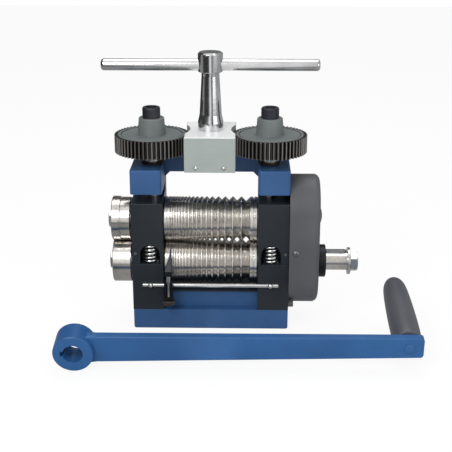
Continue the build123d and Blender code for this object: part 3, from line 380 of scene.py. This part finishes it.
along_x = (5200.0, 60.0, 60.0)
along_z = (60.0, 60.0, 4200.0)
even = (900.0, 900.0, 900.0)
ground_rollers = steel("ground_rollers", (0.76, 0.73, 0.69, 1), 0.13, along_x, 0.00002, 0.35)
polished_along_x = steel("polished_along_x", (0.8, 0.8, 0.8, 1), 0.08, along_x, 0.00001)
polished_along_z = steel("polished_along_z", (0.78, 0.79, 0.8, 1), 0.08, along_z, 0.00001)
bright_fasteners = steel("bright_fasteners", (0.74, 0.74, 0.73, 1), 0.22, even, 0.00001)
dull_fasteners = steel("dull_fasteners", (0.24, 0.24, 0.24, 1), 0.4, even, 0.00002)
spring_wire = steel("spring_wire", (0.85, 0.85, 0.84, 1), 0.16, even, 0.000005)
black_oxide = steel("black_oxide", (0.04, 0.041, 0.045, 1), 0.36, even, 0.00002)
cap_screw_black = steel("cap_screw_black", (0.085, 0.088, 0.105, 1), 0.45, even, 0.00003)
bronze = steel("bronze", (0.42, 0.27, 0.12, 1), 0.3, along_z, 0.00001)
# Painted shade: the pressure nuts under the gears are bronze darkened almost to black, as they sit in shade.
shaded_bronze = steel("shaded_bronze", (0.075, 0.055, 0.036, 1), 0.5, even, 0.00002)
grey_bronze = steel("grey_bronze", (0.15, 0.125, 0.12, 1), 0.42, even, 0.00002)
print("materials so far:", len(bpy.data.materials))


# %% [markdown]
# ## Gears and the gearbox
# The gear blanks are dull: they were turned, blasted and left. The teeth were cut afterwards and are
# brighter, and their roots are painted dark as painted shade between the teeth. The distance from each
# gear's own axis tells teeth from blank. The gearbox is a block of ground aluminium, and its top is
# painted almost white, a painted highlight where the light meets it.

# %% Finish the gears
gear_axis = (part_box("right_pressure_screw")[0].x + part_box("right_pressure_screw")[1].x) / 2
tooth_root, tooth_tip = 0.0384, 0.04275
gear_edge, blast_depth = 0.0003, 0.00005
blank_dark, blank_light = (0.13, 0.15, 0.15, 1), (0.2, 0.22, 0.22, 1)
root_shade_colour, tip_colour = (0.05, 0.047, 0.046, 1), (0.34, 0.325, 0.31, 1)


def gear_steel(name, centre_x):
    """Dull blank, brighter teeth and a painted shade at their root, by the distance from an upright axis."""
    metal = Finish(name)
    where = metal.place(move=(-centre_x, 0.0, 0.0))
    gear_x, gear_y = metal.along(0, where), metal.along(1, where)
    radius = metal.maths("SQRT", gear_x * gear_x + gear_y * gear_y)
    tooth = radius.above(tooth_root - 0.0003, tooth_root + 0.0012)
    tip = radius.above(tooth_tip - 0.0014, tooth_tip - 0.0002)
    grain = metal.noise(metal.place(), 900.0, 3.0)
    patches = metal.noise(metal.place(), 60.0, 4.0)
    blank = metal.mix(patches, blank_dark, blank_light)
    # Painted shade: the teeth darken from tip to root, where they shade each other.
    cut = metal.mix(tip, root_shade_colour, tip_colour)
    tint = metal.mix(tooth, blank, cut)
    roughness = 0.5 - tooth * 0.26 + grain * 0.1
    normal = metal.bump(grain, blast_depth, metal.soft_edges(gear_edge))
    return metal.shade(Base_Color=tint, Metallic=0.35 + tooth * 0.6, Roughness=roughness, Normal=normal)


left_gear = gear_steel("left_gear_steel", -gear_axis)
right_gear = gear_steel("right_gear_steel", gear_axis)
drive_gear = steel("drive_gear_steel", (0.3, 0.29, 0.27, 1), 0.35, even, 0.00002)
print("the top gears' axes are", round(gear_axis * 1000, 1), "mm from the middle")

# %% Finish the gearbox
gearbox_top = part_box("gearbox_housing")[1].z
plate_dark, plate_light, plate_highlight_colour = (0.27, 0.305, 0.29, 1), (0.37, 0.405, 0.39, 1), (0.84, 0.85, 0.85, 1)
plate = Finish("gearbox_plate")
streaks = plate.noise(plate.place(scale=(30.0, 30.0, 900.0)), 1.0, 3.0)
clouds = plate.noise(plate.place(), 50.0, 4.0)
plate_edges = plate.soft_edges(0.0005)
# Painted highlight: the top face is painted almost white, as bright light mirrored off it would look.
painted_highlight_top = plate.along(2).above(gearbox_top - 0.0009, gearbox_top - 0.0002)
side_tint = plate.mix(clouds * 0.5 + streaks * 0.5, plate_dark, plate_light)
plate_tint = plate.mix(painted_highlight_top, side_tint, plate_highlight_colour)
gearbox_plate = plate.shade(Base_Color=plate_tint, Metallic=0.2, Roughness=0.42 + streaks * 0.1,
                            Normal=plate.bump(streaks, 0.00001, plate_edges))
print("the gearbox's top is at", round(gearbox_top * 1000, 1), "mm")

# %% [markdown]
# ## Plastic
# The crank's grip is moulded plastic that hands have dulled. It is dark grey rather than black, with a fine
# even grain and a gloss that changes at random from place to place.

# %% Mould the plastic
plastic_dark, plastic_light = (0.05, 0.053, 0.064, 1), (0.082, 0.086, 0.101, 1)
moulded = Finish("grip_plastic")
pores = moulded.noise(moulded.place(), 1500.0, 2.0)
handling = moulded.noise(moulded.place(), 35.0, 3.0)
moulded_tint = moulded.mix(handling, plastic_dark, plastic_light)
grip_plastic = moulded.shade(Base_Color=moulded_tint, Roughness=0.36 + handling * 0.16,
                             Normal=moulded.bump(pores, 0.00003, moulded.soft_edges(0.0006)))
print("plastic:", grip_plastic.name)

# %% [markdown]
# ## The crank's frame
# The crank lies in front of the mill, tipped back at its eye. Its pieces are easiest to model upright at the
# origin, and are then laid down by the same turns as the CAD crank: the eye's axis is the crank's own Y and
# the arm runs along its X.

# %% Lay pieces down as the crank lies
crank_eye = Vector((-0.1447, -0.1348, 0.0242))
crank_length = 0.3623
crank_turn, crank_tilt, crank_fall = 0.3, 9.0, -0.6      # degrees, as in the CAD
laid = (Matrix.Rotation(radians(crank_turn), 4, "Z") @ Matrix.Rotation(radians(crank_tilt), 4, "X")
        @ Matrix.Rotation(radians(crank_fall), 4, "Y"))


def select_only(piece):
    bpy.ops.object.select_all(action="DESELECT")
    piece.select_set(True)
    bpy.context.view_layer.objects.active = piece


def lay_down(piece, stands_at, stand):
    """Stand a piece in the crank's own frame, lay it down with the crank, and leave its place in its mesh."""
    piece.matrix_world = Matrix.Translation(crank_eye) @ laid @ Matrix.Translation(stands_at) @ stand
    bpy.context.view_layer.update()
    select_only(piece)
    bpy.ops.object.transform_apply(location=True, rotation=True, scale=True)


def recalculate(piece):
    """Close doubled points and turn every face outwards."""
    select_only(piece)
    bpy.ops.object.mode_set(mode="EDIT")
    bpy.ops.mesh.select_all(action="SELECT")
    bpy.ops.mesh.remove_doubles(threshold=0.00001)
    bpy.ops.mesh.normals_make_consistent(inside=False)
    bpy.ops.object.mode_set(mode="OBJECT")


print("the grip's pin is", round(crank_length * 1000), "mm from the eye")

# %% [markdown]
# ## The grip
# The real grip is one moulding: a flat shoulder next to the arm, a long gentle belly and a rounded end.
# Turning it with a lathe curve would do, but it is also a good first exercise in extrusion. A ring of 24
# points is extruded again and again, and each new ring is scaled to the next radius. Subdivision then makes
# the belly smooth without any more rings.

# %% Model the grip
grip_start = 0.0056                          # from the arm's middle plane
ring_points = 24
grip_rings = ((0.0, 0.0149), (0.0014, 0.0156), (0.01, 0.0162), (0.04, 0.01645), (0.075, 0.0157),
              (0.1, 0.0146), (0.113, 0.0133), (0.1212, 0.0108), (0.1258, 0.0072), (0.1275, 0.0032))
bpy.ops.object.select_all(action="DESELECT")
bpy.ops.mesh.primitive_circle_add(vertices=ring_points, radius=grip_rings[0][1], fill_type="NGON",
                                  location=(0, 0, 0))
grip = bpy.context.object
grip.name = "moulded_grip"
bpy.ops.object.mode_set(mode="EDIT")
bpy.ops.mesh.select_mode(type="FACE")
bpy.ops.mesh.select_all(action="SELECT")
for (low, below), (high, above) in zip(grip_rings, grip_rings[1:]):
    bpy.ops.mesh.extrude_region_move(TRANSFORM_OT_translate={"value": (0, 0, high - low)})
    bpy.ops.transform.resize(value=(above / below, above / below, 1), center_override=(0, 0, high))
bpy.ops.mesh.select_all(action="SELECT")
bpy.ops.object.mode_set(mode="OBJECT")
recalculate(grip)
lay_down(grip, Vector((crank_length, grip_start, 0)), Matrix.Rotation(radians(-90), 4, "X"))
smooth = grip.modifiers.new("smooth", "SUBSURF")
smooth.levels = smooth.render_levels = 2
bpy.ops.object.modifier_apply(modifier="smooth")
bpy.ops.object.shade_smooth()
grip.data.materials.append(grip_plastic)
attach(grip, "crank_grip")
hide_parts("crank_grip")
print("grip:", len(grip.data.polygons), "faces,", [round(size * 1000) for size in grip.dimensions], "mm")

# %% [markdown]
# ## The weld
# The arm was welded into the eye, and the bead was ground and painted over. It shows as a soft swelling where
# the two meet. A cube is enough to start from: its end towards the arm is scaled in and all its edges are
# bevelled, and then noise moves its faces a little, as a hand-laid bead is never even.

# %% Model the weld
weld_start, weld_end = 0.0125, 0.0275
weld_thick, weld_tall = 0.0136, 0.0345
weld_narrowing = (0.78, 0.945)               # of its thickness and height, towards the arm
weld_rounding, bead_size, bead_height = 0.0024, 0.006, 0.0012
bpy.ops.object.select_all(action="DESELECT")
weld_size = (weld_end - weld_start, weld_thick, weld_tall)
bpy.ops.mesh.primitive_cube_add(size=1.0, location=(0, 0, 0), scale=weld_size)
weld = bpy.context.object
weld.name = "eye_weld"
bpy.ops.object.transform_apply(scale=True)
bpy.ops.object.mode_set(mode="EDIT")
bpy.ops.mesh.select_mode(type="FACE")
bpy.ops.mesh.select_all(action="DESELECT")
bpy.ops.object.mode_set(mode="OBJECT")
for face in weld.data.polygons:
    face.select = face.normal.x > 0.9
bpy.ops.object.mode_set(mode="EDIT")
bpy.ops.transform.resize(value=(1, *weld_narrowing), center_override=((weld_end - weld_start) / 2, 0, 0))
bpy.ops.mesh.select_all(action="SELECT")
bpy.ops.mesh.bevel(offset=weld_rounding, segments=3, affect="EDGES")
bpy.ops.mesh.subdivide(number_cuts=2)
bpy.ops.object.mode_set(mode="OBJECT")
recalculate(weld)
lay_down(weld, Vector(((weld_start + weld_end) / 2, 0, 0)), Matrix.Identity(4))
bead_texture = bpy.data.textures.new("bead", "CLOUDS")
bead_texture.noise_scale = bead_size
uneven = weld.modifiers.new("uneven", "DISPLACE")
uneven.texture = bead_texture
uneven.strength = bead_height
uneven.mid_level = 0.5
uneven.texture_coords = "LOCAL"
rounded = weld.modifiers.new("rounded", "SUBSURF")
rounded.levels = rounded.render_levels = 1
bpy.ops.object.modifier_apply(modifier="uneven")
bpy.ops.object.modifier_apply(modifier="rounded")
bpy.ops.object.shade_smooth()
weld.data.materials.append(crank_blue)
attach(weld, "crank")
print("weld:", len(weld.data.polygons), "faces,", [round(size * 1000) for size in weld.dimensions], "mm")

# %% [markdown]
# ## Dress the machined pieces
# Each CAD piece keeps its shape and gets its finish here, by name.

# %% Give every node its finish
finishes = {
    frame_blue: ["base", "left_housing", "right_housing", "tie_bar"],
    beam_blue: ["cross_beam"],
    crank_blue: ["crank_arm", "grip_pin"],
    block_black: ["left_lower_block", "right_lower_block", "left_upper_block", "right_upper_block"],
    cover_grey: ["gear_cover", "cover_cap"],
    ground_rollers: ["upper_roller", "lower_roller", "upper_extension_roller", "lower_extension_roller"],
    polished_along_x: ["t_bar", "guide_rod"],
    polished_along_z: ["t_post"],
    bright_fasteners: ["guide_strips", "upper_shaft_nuts", "lower_shaft_nut", "upper_gear_key", "guide_stud",
                       "lower_shaft_keys", "gearbox_screws", "pinion_key", "rod_screws", "shaft_washer",
                       "shaft_bolt", "left_pressure_screw", "right_pressure_screw"],
    dull_fasteners: ["oilers", "side_bolt", "cover_plug"],
    spring_wire: ["left_lift_spring", "right_lift_spring"],
    black_oxide: ["frame_bolts", "tie_bolts", "drive_collar", "gearbox_bolts", "cover_screws", "guide_slider",
                  "guide_finger"],
    cap_screw_black: ["left_cap_screw", "right_cap_screw"],
    bronze: ["lower_bushes", "upper_bushes", "post_bushes"],
    shaded_bronze: ["pressure_nuts"],
    grey_bronze: ["thumb_nut"],
    left_gear: ["left_top_gear"],
    right_gear: ["right_top_gear"],
    drive_gear: ["upper_drive_gear", "lower_drive_gear", "pinion"],
    gearbox_plate: ["gearbox_housing", "gearbox_base"],
    grip_plastic: ["crank_grip"],
}
for finish, members in finishes.items():
    for name in members:
        slots = nodes[name].data.materials
        slots.clear()
        slots.append(finish)
dressed = sum(len(members) for members in finishes.values())
print("dressed", dressed, "of", len(nodes), "nodes")
